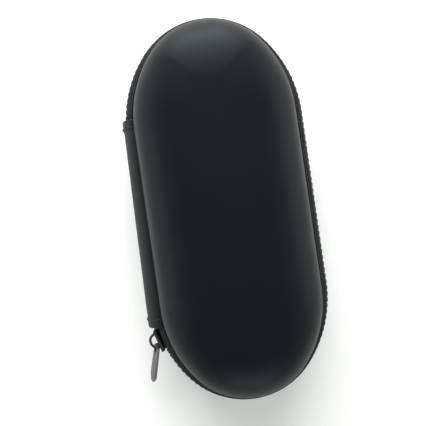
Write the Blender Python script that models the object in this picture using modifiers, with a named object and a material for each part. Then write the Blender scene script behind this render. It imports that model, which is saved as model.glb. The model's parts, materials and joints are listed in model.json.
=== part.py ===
"""A pill-shaped hard-shell carry case for earbuds, closed by a zip that runs round three sides.

Two foam shells, each a laminate of skin, foam and lining, meet at a zip. A strip on the back long side
is the hinge. The case lies on its flat base: +X runs along its length, +Y points to the hinge, +Z is up,
and the origin is the middle of the base's rest face. Sizes are in metres.
"""

import math

import bmesh
import bpy
from mathutils import Matrix, Vector

MM = 0.001

# Outline over the outer face of the zip
LENGTH = 163.2 * MM
WIDTH = 75.2 * MM
END_REACH = 44.8 * MM           # how far the rounding of each end reaches along the case
TIP_TIGHTENING = 4.0 * MM       # how much smaller the tip's radius is than half the width

# Heights
ZIP_HEIGHT = 24.0 * MM          # middle of the zip above the rest face
SEAM_RISE = 11.2 * MM           # from the middle of the zip to each shell's rim
LID_RISE = 25.0 * MM            # crown of the lid above its rim

# Shell form
SEAM_INSET = 4.5 * MM           # each shell's rim lies this far inside the zip's outer face
LID_POWER = 2.4                 # roundness of the lid's section, 2 being an ellipse
BASE_POWER = 2.3
BASE_SHOULDER = 14.0 * MM       # width of the rounding between the base's rim and its rest face
RIM_BAND = 0.8 * MM             # upright edge of each shell at its rim
CROWN_SHARE = 0.08              # half-width of the lid's level crown, as a share of the lid's half-width

# Laminate and clearance
GAP = 0.3 * MM                  # between pieces that touch
SKIN = 0.8 * MM
FOAM = 3.4 * MM
LINING = 0.6 * MM
BINDING = 0.6 * MM
BINDING_WIDTH = 5.0 * MM
BINDING_LAP = 1.5 * MM           # how far it covers the lining past a shell's rim

# Zip
TAPE = 0.8 * MM                 # thickness of the woven tape
TAPE_FLANGE = 5.0 * MM          # the tape's edge that is sewn under a shell's rim
TAPE_BULGE = 0.7 * MM           # how far the tape swells outwards between the coil and the seam
TAPE_BULGE_RUN = 1.7 * MM       # from the coil's edge to the crest of that swelling
COIL = 1.4 * MM                 # thickness of the coil
CHAIN_WIDTH = 6.0 * MM          # both coils closed
RAIL = 1.4 * MM                 # width of the coil's sewn edge
ZIP_PITCH = 2.5 * MM
TOOTH_REACH = 0.9 * MM          # how far a tooth passes the middle of the chain
TOOTH_PLAY = 0.35 * MM          # between neighbouring teeth of the two coils
TAPE_PARTING = 0.9 * MM         # from the middle of the chain to each tape's inner edge

# Hinge
SPINE_LENGTH = 89.4 * MM
SPINE_SHIFT = 1.1 * MM          # how far the strip lies off the middle, towards the slider
SPINE = 1.6 * MM                # thickness of the padded strip
SPINE_SWELL = 1.7 * MM          # how far the strip stands proud of the zip
END_TAB = 4.4 * MM              # width of the folded tab over each end of the strip
END_TAB_SKIN = 0.5 * MM
COVER_TRIM = 0.25               # share of the strip's last facet that its inner cover leaves free

# Slider, its bridge and its pull tab
SLIDER_LENGTH = 9.6 * MM
SLIDER_WIDTH = 9.6 * MM
SLIDER_TAIL = 8.6 * MM          # width at its two ends
SLIDER_PLATE = 1.4 * MM
SLIDER_LIFT = 0.4 * MM          # running clearance between the outer plate and the coils
SLIDER_KEEPER = 1.1 * MM        # thickness of the inner plate
KEEPER_PLAY = 0.8 * MM          # running clearance between the inner plate and the tape
NECK_WIDTH = 1.0 * MM
NECK_LENGTH = 2.2 * MM
LIP = 0.8 * MM                  # the folded edge on the base's side
SLIDER_CORNER = 0.5 * MM
BRIDGE_WIRE = 1.1 * MM
BRIDGE_RISE = 5.1 * MM          # middle of the bridge's crown above the coils
BRIDGE_SPAN = 4.4 * MM          # between the tops of its legs
LEG_LEAN = math.radians(23.5)
LEG_TOP = 4.3 * MM              # where each leg starts to turn into the crown
BRIDGE_CORNER = 2.0 * MM        # length of that turn along the crown
LEG_SOCKET = 0.9 * MM           # depth of the hole that holds each leg
TAB_LENGTH = 21.2 * MM
TAB_WIDTH = 4.4 * MM
TAB_THICKNESS = 1.2 * MM
TAB_TIP = 1.8 * MM              # width of the blunt tip
TAB_CHAMFER = 3.0 * MM
EYE_HOLE = 2.1 * MM
EYE_SLOT = 1.6 * MM             # how far the eye is drawn out along the tab
EYE_RIM = 0.7 * MM
EYE_RISE = 3.4 * MM             # the eye's middle above the coils, on the bridge's leg
TAB_DROOP = math.radians(30.0)  # how far the tab hangs below the zip's plane
TAB_TWIST = math.radians(25.0)
TAB_YAW = math.radians(8.0)      # how far it leans outwards in the play of its eye

# Net pocket in the lid
NET_RISE = 1.2 * MM             # above the lid's rim
NET_STRAND = 0.7 * MM
NET_FRONT = 4.0 * MM            # how far the net's open edge lies past the middle of the case
NET_COLUMNS = 20
NET_ROWS = 4
ELASTIC_WIDTH = 3.0 * MM
ELASTIC = 1.2 * MM

# Facets
STRAIGHT_STEPS = 1              # along half of a straight side
SIDE_STEPS = 4
TIP_STEPS = 8
DOME_STEPS = 6
BASE_STEPS = 4
CORNER_STEPS = 3
EYE_STEPS = 6
WIRE_STEPS = 2
BRIDGE_STEPS = 5

# Derived outline: each end is a tip arc between two side arcs
HALF_LENGTH = LENGTH / 2
HALF_WIDTH = WIDTH / 2
TIP_RADIUS = HALF_WIDTH - TIP_TIGHTENING
SIDE_RADIUS = (END_REACH ** 2 + HALF_WIDTH ** 2 - 2 * END_REACH * TIP_RADIUS) / (2 * TIP_TIGHTENING)
TIP_CENTRE = HALF_LENGTH - TIP_RADIUS
STRAIGHT = HALF_LENGTH - END_REACH
SIDE_DROP = SIDE_RADIUS - HALF_WIDTH
SIDE_TURN = math.atan2(TIP_CENTRE - STRAIGHT, SIDE_DROP)
TIP_TURN = math.pi - 2 * SIDE_TURN

# Derived heights and places
LID_RIM = ZIP_HEIGHT + SEAM_RISE
BASE_RIM = ZIP_HEIGHT - SEAM_RISE
FLANGE_RISE = SEAM_RISE - GAP
FOAM_DEPTH = SKIN + GAP
LINING_DEPTH = FOAM_DEPTH + FOAM + GAP
BINDING_DEPTH = LINING_DEPTH + LINING + GAP
TAPE_FACE = COIL + GAP
LID_AXIS_Y = HALF_WIDTH + GAP
SPINE_END = SPINE_LENGTH / 2 + SPINE_SHIFT
SPINE_FAR_END = SPINE_LENGTH / 2 - SPINE_SHIFT
SLIDER_ARC = SPINE_END + GAP + SLIDER_LENGTH / 2 + GAP
SLIDER_ANGLE = (SLIDER_ARC - STRAIGHT) / SIDE_RADIUS

COLLECTION = "earbud_carry_case"


# Outline

def segments():
    """The stretches of the outline: a length, a number of facets, and a function from a distance to a place.

    The place comes with its outward normal. The outline starts at the middle of the back side and runs
    towards -X first.
    """
    def line(start, heading):
        normal = Vector((heading.y, -heading.x))
        return lambda t: (start + heading * t, normal)

    def arc(centre, radius, first):
        def at(t):
            angle = first + t / radius
            normal = Vector((math.cos(angle), math.sin(angle)))
            return centre + normal * radius, normal
        return at

    quarter = math.pi / 2
    side = SIDE_RADIUS * SIDE_TURN
    tip = TIP_RADIUS * TIP_TURN
    back = Vector((-1, 0))
    ahead = Vector((1, 0))
    return [
        (STRAIGHT, STRAIGHT_STEPS, line(Vector((0, HALF_WIDTH)), back)),
        (side, SIDE_STEPS, arc(Vector((-STRAIGHT, -SIDE_DROP)), SIDE_RADIUS, quarter)),
        (tip, TIP_STEPS, arc(Vector((-TIP_CENTRE, 0)), TIP_RADIUS, quarter + SIDE_TURN)),
        (side, SIDE_STEPS, arc(Vector((-STRAIGHT, SIDE_DROP)), SIDE_RADIUS, 3 * quarter - SIDE_TURN)),
        (2 * STRAIGHT, 2 * STRAIGHT_STEPS, line(Vector((-STRAIGHT, -HALF_WIDTH)), ahead)),
        (side, SIDE_STEPS, arc(Vector((STRAIGHT, SIDE_DROP)), SIDE_RADIUS, 3 * quarter)),
        (tip, TIP_STEPS, arc(Vector((TIP_CENTRE, 0)), TIP_RADIUS, 3 * quarter + SIDE_TURN)),
        (side, SIDE_STEPS, arc(Vector((STRAIGHT, -SIDE_DROP)), SIDE_RADIUS, quarter - SIDE_TURN)),
        (STRAIGHT, STRAIGHT_STEPS, line(Vector((STRAIGHT, HALF_WIDTH)), back)),
    ]


SEGMENTS = segments()
PERIMETER = sum(length for length, steps, at in SEGMENTS)


def locate(distance):
    """The outline's place and outward normal at a distance along it."""
    left = distance % PERIMETER
    for length, steps, at in SEGMENTS:
        if left <= length:
            return at(left)
        left -= length
    return SEGMENTS[-1][2](SEGMENTS[-1][0])


def on_band(distance, out, height):
    """A point beside the outline, moved outwards and up from the middle of the zip."""
    place, normal = locate(distance)
    flat = place + normal * out
    return Vector((flat.x, flat.y, ZIP_HEIGHT + height))


def ring_stations():
    """Distances round the whole outline, closer together where it turns."""
    found = []
    start = 0.0
    for length, steps, at in SEGMENTS:
        found += [start + length * i / steps for i in range(steps)]
        start += length
    return found


def span_stations(first, last):
    """The ring's stations between two distances, with the two ends."""
    tight = 0.5 * MM
    wrapped = ring_stations() + [s - PERIMETER for s in ring_stations()]
    inner = sorted(s for s in wrapped if first + tight < s < last - tight)
    return [first, *inner, last]


def half_width_at(x, inset):
    """Half the width of the outline at x, drawn in by inset."""
    along = abs(x)
    if along <= STRAIGHT:
        return HALF_WIDTH - inset
    if along <= STRAIGHT + (SIDE_RADIUS - inset) * math.sin(SIDE_TURN):
        return math.sqrt((SIDE_RADIUS - inset) ** 2 - (along - STRAIGHT) ** 2) - SIDE_DROP
    return math.sqrt(max(0.0, (TIP_RADIUS - inset) ** 2 - (along - TIP_CENTRE) ** 2))


def half_length_at(y, inset):
    """Half the length of the outline at y, drawn in by inset, near the middle of the tip."""
    return TIP_CENTRE + math.sqrt((TIP_RADIUS - inset) ** 2 - y ** 2)


# Blender helpers

def clear_scene():
    for obj in list(bpy.data.objects):
        bpy.data.objects.remove(obj, do_unlink=True)
    for collection in list(bpy.data.collections):
        bpy.data.collections.remove(collection)


def new_collection(name):
    collection = bpy.data.collections.new(name)
    bpy.context.scene.collection.children.link(collection)
    return collection


def new_object(name, mesh):
    obj = bpy.data.objects.new(name, mesh)
    bpy.data.collections[COLLECTION].objects.link(obj)
    return obj


def empty(name, place):
    obj = bpy.data.objects.new(name, None)
    obj.location = place
    obj.empty_display_size = 5 * MM
    bpy.data.collections[COLLECTION].objects.link(obj)
    bpy.context.view_layer.update()
    return obj


def mesh_from(bm, name):
    mesh = bpy.data.meshes.new(name)
    bm.to_mesh(mesh)
    bm.free()
    return mesh


def finish(obj, colour, roughness, metallic=0.0):
    """Gives a piece its own material and smooth shading with crisp corners."""
    material = bpy.data.materials.new(obj.name)
    material.use_nodes = True
    shader = material.node_tree.nodes["Principled BSDF"]
    shader.inputs["Base Color"].default_value = (*colour, 1.0)
    shader.inputs["Roughness"].default_value = roughness
    shader.inputs["Metallic"].default_value = metallic
    obj.data.materials.append(material)
    if obj.type == "MESH":
        obj.data.shade_smooth()
        obj.data.set_sharp_from_angle(angle=math.radians(40))
    return obj


def hang_on(obj, axis):
    """Parents a piece that is already in place to the empty on its joint's axis."""
    obj.parent = axis
    obj.matrix_parent_inverse = axis.matrix_world.inverted()
    return obj


def loft(rows, closed):
    """A surface through rows of points along the outline. It faces outwards when the rows go up."""
    bm = bmesh.new()
    lines = [[bm.verts.new(point) for point in row] for row in rows]
    for low, high in zip(lines, lines[1:]):
        count = len(low)
        for i in range(count if closed else count - 1):
            j = (i + 1) % count
            bm.faces.new((low[i], low[j], high[j], high[i]))
    return bm, lines


def strip(name, profile, stations, closed=False):
    """A surface that carries a section of (out, rise) points along the outline."""
    rows = [[on_band(s, out, rise) for s in stations] for out, rise in profile]
    bm, lines = loft(rows, closed)
    return mesh_from(bm, name)


def layer(name, surface, depth, thickness):
    """One layer of a laminate: a wall that starts at a depth under a surface, or above it if negative."""
    obj = new_object(name, surface.copy())
    wall = obj.modifiers.new("wall", "SOLIDIFY")
    wall.thickness = thickness
    wall.offset = -1 - 2 * depth / thickness
    wall.use_even_offset = True
    wall.use_quality_normals = True
    return obj


def extruded(name, outline, low, high):
    """A plate with an outline of (x, z) points, standing between two heights along Y."""
    bm = bmesh.new()
    face = bm.faces.new([bm.verts.new((x, low, z)) for x, z in outline])
    grown = bmesh.ops.extrude_face_region(bm, geom=[face])
    moved = [v for v in grown["geom"] if isinstance(v, bmesh.types.BMVert)]
    bmesh.ops.translate(bm, verts=moved, vec=(0, high - low, 0))
    bmesh.ops.recalc_face_normals(bm, faces=bm.faces)
    return mesh_from(bm, name)


def block(name, low, high):
    """A box between two corners."""
    bm = bmesh.new()
    bmesh.ops.create_cube(bm, size=1.0)
    size = Vector(high) - Vector(low)
    bmesh.ops.scale(bm, vec=size, verts=bm.verts)
    bmesh.ops.translate(bm, vec=(Vector(high) + Vector(low)) / 2, verts=bm.verts)
    return mesh_from(bm, name)


def bevel(obj, width, steps=2):
    rounding = obj.modifiers.new("rounding", "BEVEL")
    rounding.width = width
    rounding.segments = steps
    rounding.limit_method = "ANGLE"
    return obj


def combine(obj, mesh, operation, matrix=None):
    """Joins a tool to a piece or cuts it away."""
    tool = bpy.data.objects.new(mesh.name, mesh)
    bpy.data.collections["cutters"].objects.link(tool)
    tool.matrix_world = matrix or obj.matrix_world
    tool.hide_render = True
    tool.display_type = "WIRE"
    change = obj.modifiers.new(mesh.name, "BOOLEAN")
    change.object = tool
    change.operation = operation
    change.solver = "EXACT"


def as_mesh(curve_object):
    """Turns a curve into a closed mesh object with the same name and place."""
    bpy.context.view_layer.update()
    graph = bpy.context.evaluated_depsgraph_get()
    mesh = bpy.data.meshes.new_from_object(curve_object.evaluated_get(graph))
    bm = bmesh.new()
    bm.from_mesh(mesh)
    bmesh.ops.remove_doubles(bm, verts=bm.verts, dist=0.001 * MM)
    bmesh.ops.recalc_face_normals(bm, faces=bm.faces)
    bm.to_mesh(mesh)
    bm.free()
    name = curve_object.name
    place = curve_object.matrix_world.copy()
    bpy.data.objects.remove(curve_object)
    obj = new_object(name, mesh)
    obj.matrix_world = place
    return obj


# Shells

def section_share(turn, power):
    """A quarter of a superellipse: its half-width and height shares at a turn from the rim."""
    return math.cos(turn) ** (2 / power), math.sin(turn) ** (2 / power)


def reach_inwards(place, normal):
    """Distance from the outline along its inward normal to the middle line of the case."""
    if abs(normal.y) < 1e-6:
        return TIP_RADIUS
    return place.y / normal.y


def lid_surface():
    """The lid's outer face: the same rounded section all round, closed by a level crown."""
    last = math.acos(CROWN_SHARE ** (LID_POWER / 2))
    rows = [[on_band(s, -SEAM_INSET, SEAM_RISE) for s in ring_stations()]]
    for step in range(DOME_STEPS + 1):
        width, height = section_share(last * step / DOME_STEPS, LID_POWER)
        rise = SEAM_RISE + RIM_BAND + (LID_RISE - RIM_BAND) * height
        row = []
        for s in ring_stations():
            run = reach_inwards(*locate(s)) - SEAM_INSET
            row.append(on_band(s, -SEAM_INSET - run * (1 - width), rise))
        rows.append(row)
    bm, lines = loft(rows, closed=True)
    bm.faces.new(lines[-1])
    return mesh_from(bm, "lid_surface")


def base_surface():
    """The base's outer face: a rounded shoulder down to a flat rest face."""
    rows = []
    for step in reversed(range(BASE_STEPS + 1)):
        width, depth = section_share(math.pi / 2 * step / BASE_STEPS, BASE_POWER)
        out = -SEAM_INSET - BASE_SHOULDER * (1 - width)
        rise = -SEAM_RISE - RIM_BAND - (BASE_RIM - RIM_BAND) * depth
        rows.append([on_band(s, out, rise) for s in ring_stations()])
    rows.append([on_band(s, -SEAM_INSET, -SEAM_RISE) for s in ring_stations()])
    bm, lines = loft(rows, closed=True)
    bm.faces.new(reversed(lines[0]))
    return mesh_from(bm, "base_surface")


def make_shell(side, surface):
    """Skin, foam and lining of one shell."""
    return [
        finish(layer(side + "_skin", surface, 0.0, SKIN), (0.012, 0.013, 0.014), 0.55),
        finish(layer(side + "_foam", surface, FOAM_DEPTH, FOAM), (0.02, 0.02, 0.02), 0.9),
        finish(layer(side + "_lining", surface, LINING_DEPTH, LINING), (0.03, 0.03, 0.032), 0.95),
    ]


def make_binding(side, up):
    """The tape that covers the sewn seam inside one shell."""
    out = -SEAM_INSET - BINDING_DEPTH
    lap = SEAM_RISE + BINDING_LAP
    rises = sorted((up * lap, up * (lap - BINDING_WIDTH)))
    surface = strip(side + "_binding", [(out, rise) for rise in rises], ring_stations(), closed=True)
    return finish(layer(side + "_binding", surface, 0.0, BINDING), (0.015, 0.015, 0.016), 0.9)


# Zip

def tape_profile():
    """The tape's outer face, from its inner edge at the coil to the flange under the shell's rim."""
    edge = CHAIN_WIDTH / 2 + GAP
    start = edge + TAPE_BULGE_RUN
    crest = -TAPE_FACE + TAPE_BULGE
    points = [(-TAPE_FACE, TAPE_PARTING), (-TAPE_FACE, edge)]
    for step in range(CORNER_STEPS + 1):
        turn = math.pi / 2 * step / CORNER_STEPS
        out = crest - (SEAM_INSET + crest) * (1 - math.cos(turn))
        points.append((out, start + (FLANGE_RISE - start) * math.sin(turn)))
    points.append((-SEAM_INSET - TAPE_FLANGE, FLANGE_RISE))
    return points


def zip_span():
    """Where the zip starts and ends along the outline, just clear of the hinge strip."""
    return SPINE_END + GAP, PERIMETER - SPINE_FAR_END - GAP


def make_tape(side, up):
    first, last = zip_span()
    profile = [(out, up * rise) for out, rise in tape_profile()]
    if up < 0:
        profile.reverse()
    surface = strip(side + "_zip_tape", profile, span_stations(first, last))
    return finish(layer(side + "_zip_tape", surface, 0.0, TAPE), (0.014, 0.014, 0.016), 0.85)


def make_coil(side, up, phase):
    """One coil of the zip: a sewn rail with a row of teeth that mesh with the other coil's.

    Along the slider's run the teeth stop short, so that the slider's neck can pass between them.
    """
    first, last = zip_span()
    tooth = ZIP_PITCH / 2 - TOOTH_PLAY
    run_end = STRAIGHT + SIDE_RADIUS * SIDE_TURN
    outer = CHAIN_WIDTH / 2
    inner = outer - RAIL
    start = first + phase * ZIP_PITCH
    count = int((last - start) / ZIP_PITCH)
    bm = bmesh.new()

    def vert(s, rise):
        return bm.verts.new(on_band(s, 0.0, up * rise))

    backs = [vert(start + i * ZIP_PITCH, outer) for i in range(count + 1)]
    fronts = [vert(start + i * ZIP_PITCH, inner) for i in range(count + 1)]
    for i in range(count):
        s = start + i * ZIP_PITCH
        tip = TAPE_PARTING if s < run_end else -TOOTH_REACH
        root = vert(s + tooth, inner)
        corner = vert(s + tooth, tip)
        point = vert(s, tip)
        rail = [fronts[i], root, fronts[i + 1], backs[i + 1], backs[i]]
        head = [point, corner, root, fronts[i]]
        for loop in (rail, head):
            bm.faces.new(loop if up > 0 else reversed(loop))
    surface = mesh_from(bm, side + "_zip_coil")
    return finish(layer(side + "_zip_coil", surface, 0.0, COIL), (0.02, 0.02, 0.022), 0.4)


# Hinge

def spine_profile():
    """The hinge strip's swelling outer face, from the base's rim to the lid's."""
    points = []
    for step in range(-CORNER_STEPS, CORNER_STEPS + 1):
        turn = math.pi / 2 * step / CORNER_STEPS
        out = -SEAM_INSET + (SEAM_INSET + SPINE_SWELL) * math.cos(turn)
        points.append((out, FLANGE_RISE * math.sin(turn)))
    return points


def between(one, other, share):
    return tuple(a + (b - a) * share for a, b in zip(one, other))


def make_hinge():
    """The hinge strip, its inner cover and a folded tab over each of its ends."""
    whole = spine_profile()
    low = between(whole[1], whole[2], COVER_TRIM)
    high = between(whole[-2], whole[-3], COVER_TRIM)
    middle = [low, *whole[2:-2], high]
    stations = span_stations(-SPINE_FAR_END, SPINE_END)
    sewn = [(-SEAM_INSET - TAPE_FLANGE, -FLANGE_RISE), *whole]
    spine = layer("hinge_spine", strip("hinge_spine", sewn, stations), 0.0, SPINE)
    cover = layer("hinge_lining", strip("hinge_lining", middle, stations), SPINE + GAP, LINING)
    finish(spine, (0.014, 0.014, 0.016), 0.75)
    finish(cover, (0.03, 0.03, 0.032), 0.95)
    ends = [
        ("hinge_tab_slider_end", SPINE_END - END_TAB, SPINE_END),
        ("hinge_tab_far_end", -SPINE_FAR_END, END_TAB - SPINE_FAR_END),
    ]
    for name, first, last in ends:
        surface = strip(name, middle, span_stations(first, last))
        tab = layer(name, surface, -GAP - END_TAB_SKIN, END_TAB_SKIN)
        finish(tab, (0.018, 0.018, 0.02), 0.8)


# Slider and pull

def slider_axis():
    """The middle of the side arc that the slider runs on."""
    return Vector((-STRAIGHT, -SIDE_DROP, ZIP_HEIGHT))


def slider_frame():
    """The slider's own axes: X back along the zip towards the hinge strip, Y outwards, Z up."""
    return Matrix.Translation(slider_axis()) @ Matrix.Rotation(SLIDER_ANGLE, 4, "Z")


def leg_point(rise, side):
    """A point on a leg of the bridge, at a height above the coils."""
    along = BRIDGE_SPAN / 2 + (LEG_TOP - rise) * math.tan(LEG_LEAN)
    return Vector((side * along, SIDE_RADIUS + rise, 0))


def make_slider():
    """The slider's body: an outer plate, a neck between the tapes, and a keeper behind the base's tape.

    The keeper stops at the neck, so the lid's tape can leave inwards when the lid is lifted.
    """
    half = SLIDER_LENGTH / 2
    wide = SLIDER_WIDTH / 2
    tail = SLIDER_TAIL / 2
    low = SIDE_RADIUS + SLIDER_LIFT
    top = low + SLIDER_PLATE
    shoulder = half - NECK_LENGTH
    right = [(-half, tail), (shoulder, wide), (half, tail)]
    outline = right + [(x, -z) for x, z in reversed(right)]
    body = new_object("slider_body", extruded("slider_body", outline, low, top))
    body.matrix_world = slider_frame()
    bpy.context.view_layer.update()
    bevel(body, SLIDER_CORNER)
    sink = SLIDER_PLATE / 2
    edge = -(CHAIN_WIDTH / 2 + SLIDER_LIFT)
    keeper_top = SIDE_RADIUS - TAPE_FACE - TAPE - KEEPER_PLAY
    keeper_low = keeper_top - SLIDER_KEEPER
    neck = NECK_WIDTH / 2
    inset = SLIDER_CORNER
    lip = block("slider_lip", (inset - half, low - LIP, edge - LIP), (half - inset, low + sink, edge))
    keeper = block("slider_keeper", (inset - half, keeper_low, edge - LIP), (half - inset, keeper_top, neck))
    post_ends = (half - inset - NECK_LENGTH, half - 2 * inset)
    post_low = keeper_low + SLIDER_KEEPER / 2
    post = block("slider_neck", (post_ends[0], post_low, -neck), (post_ends[1], low + sink, neck))
    for tool in (lip, post, keeper):
        combine(body, tool, "UNION")
    for side in (1, -1):
        bm = bmesh.new()
        radius = BRIDGE_WIRE / 2 + GAP
        bmesh.ops.create_cone(
            bm, cap_ends=True, segments=12, radius1=radius, radius2=radius, depth=2 * LEG_SOCKET
        )
        tool = mesh_from(bm, "leg_socket")
        lean = Matrix.Rotation(side * LEG_LEAN, 4, "Z") @ Matrix.Rotation(math.pi / 2, 4, "X")
        place = Matrix.Translation(leg_point(top - SIDE_RADIUS, side))
        combine(body, tool, "DIFFERENCE", body.matrix_world @ place @ lean)
    return finish(body, (0.03, 0.03, 0.032), 0.35, 0.8)


def bridge_points():
    """The bridge's middle line: a leaning leg, a rounded corner, the crown, and the same again."""
    foot = SLIDER_LIFT + SLIDER_PLATE - LEG_SOCKET + GAP
    corner = leg_point(BRIDGE_RISE, 1)
    before = leg_point(LEG_TOP, 1)
    after = corner - Vector((BRIDGE_CORNER, 0, 0))
    half = [leg_point(foot, 1), leg_point((foot + LEG_TOP) / 2, 1)]
    for step in range(BRIDGE_STEPS + 1):
        t = step / BRIDGE_STEPS
        half.append(before * (1 - t) ** 2 + corner * 2 * t * (1 - t) + after * t ** 2)
    return half + [Vector((-p.x, p.y, p.z)) for p in reversed(half)]


def make_bridge():
    """The wire bridge over the slider, held in two sockets."""
    curve = bpy.data.curves.new("slider_bridge", "CURVE")
    curve.dimensions = "3D"
    curve.bevel_depth = BRIDGE_WIRE / 2
    curve.bevel_resolution = WIRE_STEPS
    curve.use_fill_caps = True
    points = bridge_points()
    line = curve.splines.new("POLY")
    line.points.add(len(points) - 1)
    for vertex, point in zip(line.points, points):
        vertex.co = (*point, 1.0)
    obj = new_object("slider_bridge", curve)
    obj.matrix_world = slider_frame()
    return finish(as_mesh(obj), (0.035, 0.035, 0.037), 0.3, 0.9)


def tab_outline():
    """The pull tab from above: a round head, a slow flare and a chamfered tip."""
    head = EYE_HOLE / 2 + EYE_RIM
    end = TAB_LENGTH - head
    around = [math.pi - math.pi / 2 * i / EYE_STEPS for i in range(1, EYE_STEPS + 1)]
    side = [(EYE_SLOT, head), (end - TAB_CHAMFER, TAB_WIDTH / 2), (end, TAB_TIP / 2)]
    top = [(head * math.cos(a), head * math.sin(a)) for a in around] + side
    return [(-head, 0.0), *top, *[(x, -y) for x, y in reversed(top)]]


def eye_outline():
    """The tab's eye: a slot that is round at both ends."""
    radius = EYE_HOLE / 2
    turns = [math.pi / 2 + math.pi * i / EYE_STEPS for i in range(EYE_STEPS + 1)]
    near = [(radius * math.cos(a), radius * math.sin(a)) for a in turns]
    return near + [(EYE_SLOT - x, -y) for x, y in near]


def tab_frame():
    """The pull tab's axes: its origin on the bridge's leg, X along the tab, Z through the eye."""
    leg = Vector((math.sin(LEG_LEAN), math.cos(LEG_LEAN), 0))
    away = Vector((-math.cos(LEG_LEAN), math.sin(LEG_LEAN), 0))
    up = Vector((0, 0, 1))
    hanging = away * math.cos(TAB_DROOP) - up * math.sin(TAB_DROOP)
    across = away * math.sin(TAB_DROOP) + up * math.cos(TAB_DROOP)
    length = hanging * math.cos(TAB_YAW) + leg * math.sin(TAB_YAW)
    level = leg * math.cos(TAB_YAW) - hanging * math.sin(TAB_YAW)
    face = level * math.cos(TAB_TWIST) + across * math.sin(TAB_TWIST)
    turn = Matrix((length, face.cross(length), face)).transposed().to_4x4()
    return slider_frame() @ Matrix.Translation(leg_point(EYE_RISE, -1)) @ turn


def make_pull_tab():
    """The flat pull tab, cut from sheet with a slot for an eye, hanging on the bridge's lower leg."""
    curve = bpy.data.curves.new("pull_tab", "CURVE")
    curve.dimensions = "2D"
    curve.fill_mode = "BOTH"
    curve.extrude = TAB_THICKNESS / 2
    for outline in (tab_outline(), eye_outline()):
        line = curve.splines.new("POLY")
        line.points.add(len(outline) - 1)
        line.use_cyclic_u = True
        for vertex, (x, y) in zip(line.points, outline):
            vertex.co = (x, y, 0.0, 1.0)
    obj = new_object("pull_tab", curve)
    obj.matrix_world = tab_frame()
    return finish(as_mesh(obj), (0.05, 0.05, 0.052), 0.35, 0.9)


# Net pocket

def make_net():
    """A flat net across the hinge half of the lid, sewn in at the binding."""
    inset = SEAM_INSET + BINDING_DEPTH + BINDING + 2 * GAP + NET_STRAND / 2
    height = LID_RIM + NET_RISE
    reach = half_length_at(NET_FRONT, inset)
    bm = bmesh.new()
    lines = []
    for column in range(NET_COLUMNS + 1):
        x = reach * (2 * column / NET_COLUMNS - 1)
        back = half_width_at(x, inset)
        steps = [(back + NET_FRONT) * row / NET_ROWS - NET_FRONT for row in range(NET_ROWS + 1)]
        lines.append([bm.verts.new((x, y, height)) for y in steps])
    for one, other in zip(lines, lines[1:]):
        for row in range(NET_ROWS):
            bm.faces.new((one[row], other[row], other[row + 1], one[row + 1]))
    net = new_object("pocket_net", mesh_from(bm, "pocket_net"))
    strands = net.modifiers.new("strands", "WIREFRAME")
    strands.thickness = NET_STRAND
    strands.use_boundary = True
    return finish(net, (0.02, 0.02, 0.02), 0.9)


def make_elastic():
    """The elastic edge along the net's open side."""
    back = -NET_FRONT - NET_STRAND / 2 - GAP
    front = back - ELASTIC_WIDTH
    inset = SEAM_INSET + BINDING_DEPTH + BINDING + 2 * GAP
    reach = half_length_at(front, inset)
    middle = LID_RIM + NET_RISE
    low = (-reach, front, middle - ELASTIC / 2)
    high = (reach, back, middle + ELASTIC / 2)
    elastic = new_object("pocket_elastic", block("pocket_elastic", low, high))
    bevel(elastic, ELASTIC / 4)
    return finish(elastic, (0.016, 0.016, 0.017), 0.85)


def main():
    clear_scene()
    new_collection(COLLECTION)
    new_collection("cutters")
    lid_axis = empty("lid_axis", (0, LID_AXIS_Y, LID_RIM))
    slide_axis = empty("slide_axis", slider_axis())
    make_shell("base", base_surface())
    make_binding("base", -1)
    make_tape("base", -1)
    make_coil("base", -1, 0.5)
    make_hinge()
    lid = make_shell("lid", lid_surface())
    lid += [make_binding("lid", 1), make_tape("lid", 1), make_coil("lid", 1, 0.0), make_net(), make_elastic()]
    for piece in lid:
        hang_on(piece, lid_axis)
    for piece in (make_slider(), make_bridge()):
        hang_on(piece, slide_axis)
    make_pull_tab()
    bpy.context.view_layer.update()


main()
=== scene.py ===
"""Dresses the zipped carry case: shells, zip, hinge strip, slider and net pocket."""

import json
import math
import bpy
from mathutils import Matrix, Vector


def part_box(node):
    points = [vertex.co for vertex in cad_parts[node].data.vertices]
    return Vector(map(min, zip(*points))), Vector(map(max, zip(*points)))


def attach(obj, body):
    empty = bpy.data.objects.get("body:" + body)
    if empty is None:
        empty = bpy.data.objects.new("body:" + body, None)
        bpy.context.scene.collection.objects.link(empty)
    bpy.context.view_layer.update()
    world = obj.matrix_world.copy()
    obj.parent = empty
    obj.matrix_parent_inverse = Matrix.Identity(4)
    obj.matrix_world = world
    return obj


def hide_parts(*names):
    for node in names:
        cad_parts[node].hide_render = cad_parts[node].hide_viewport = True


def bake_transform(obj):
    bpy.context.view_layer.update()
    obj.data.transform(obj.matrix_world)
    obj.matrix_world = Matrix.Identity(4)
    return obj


bl_info = {
    "name": "Zipped Carry Case",
    "version": (1, 0, 0),
    "blender": (4, 5, 0),
    "location": "View3D > Sidebar > Carry Case",
    "description": "Makes the pieces of a zipped carry case and a stage for them",
    "category": "Object",
}

import bmesh
import bpy
from bpy.props import FloatProperty, FloatVectorProperty, IntProperty, PointerProperty
from mathutils import Matrix, Vector

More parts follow.
